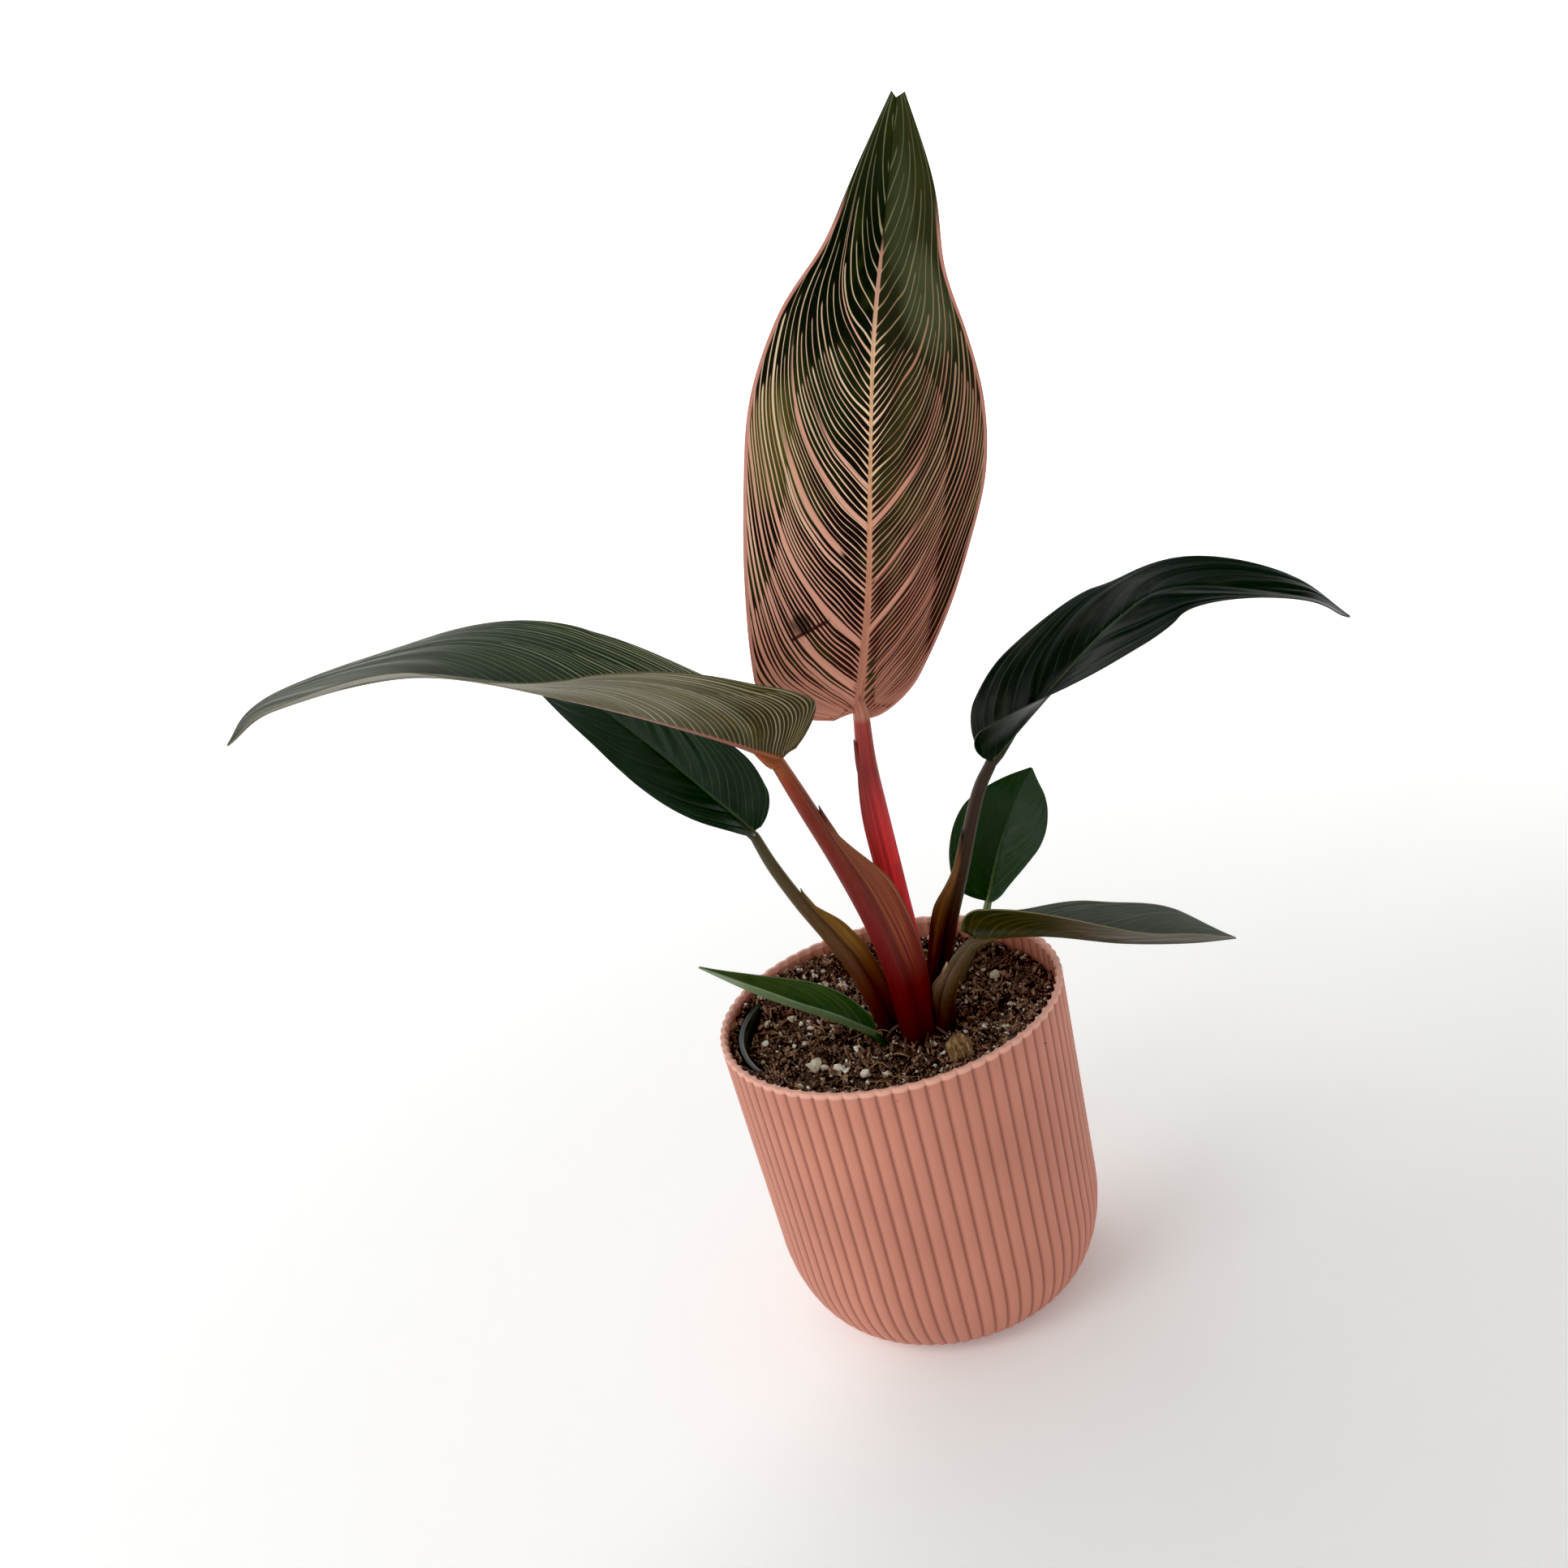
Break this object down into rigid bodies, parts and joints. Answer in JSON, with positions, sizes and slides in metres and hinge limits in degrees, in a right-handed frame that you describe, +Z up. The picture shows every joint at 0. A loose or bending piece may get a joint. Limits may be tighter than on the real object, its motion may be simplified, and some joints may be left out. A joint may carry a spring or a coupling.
{
  "type": "potted variegated philodendron",
  "caption": "Young pink-variegated philodendron in a nursery pot of soil, standing in a ribbed cover pot with a flat foot.",
  "frame": {"origin": "centre of the cover pot's flat foot, on the surface it stands on", "axes": "+Z up, +X to the viewer's right, -Y toward the viewer who faces the pink leaf"},
  "size_m": [0.4093, 0.1418, 0.4688],
  "materials": {
    "outer_pot": "matte salmon-pink moulded plastic",
    "nursery_pot": "thin dark grey-green plastic",
    "soil": "loose peat and bark with perlite",
    "bark_chip": "dry rough tan flake",
    "stem": "dark red plant skin",
    "petiole_centre": "satin crimson plant skin",
    "petiole_upper_left": "satin brown-red plant skin",
    "petiole_lower_left": "satin olive-brown plant skin",
    "petiole_right": "satin dark brown plant skin",
    "petiole_lower_right": "satin olive-brown plant skin",
    "petiole_green": "satin pale green plant skin",
    "blade_pink": "satin leaf, pink stripes on black-green",
    "blade_striped": "satin leaf, fine pale stripes on dark green",
    "blade_dark": "glossy near-black green leaf",
    "blade_green": "satin mid-green leaf",
    "blade_olive": "satin dark olive leaf"
  },
  "bodies": {
    "root": {"outer_pot": "outer_pot", "nursery_pot": "nursery_pot", "soil": "soil", "bark_chip": "bark_chip", "stem": "stem", "petiole_centre": "petiole_centre", "petiole_upper_left": "petiole_upper_left", "petiole_lower_left": "petiole_lower_left", "petiole_right": "petiole_right", "petiole_back_right": "petiole_green", "petiole_lower_right": "petiole_lower_right", "petiole_front_left": "petiole_green", "blade_centre": "blade_pink", "blade_upper_left": "blade_striped", "blade_lower_left": "blade_dark", "blade_right": "blade_dark", "blade_back_right": "blade_green", "blade_lower_right": "blade_olive", "blade_front_left": "blade_green"}
  },
  "joints": []
}
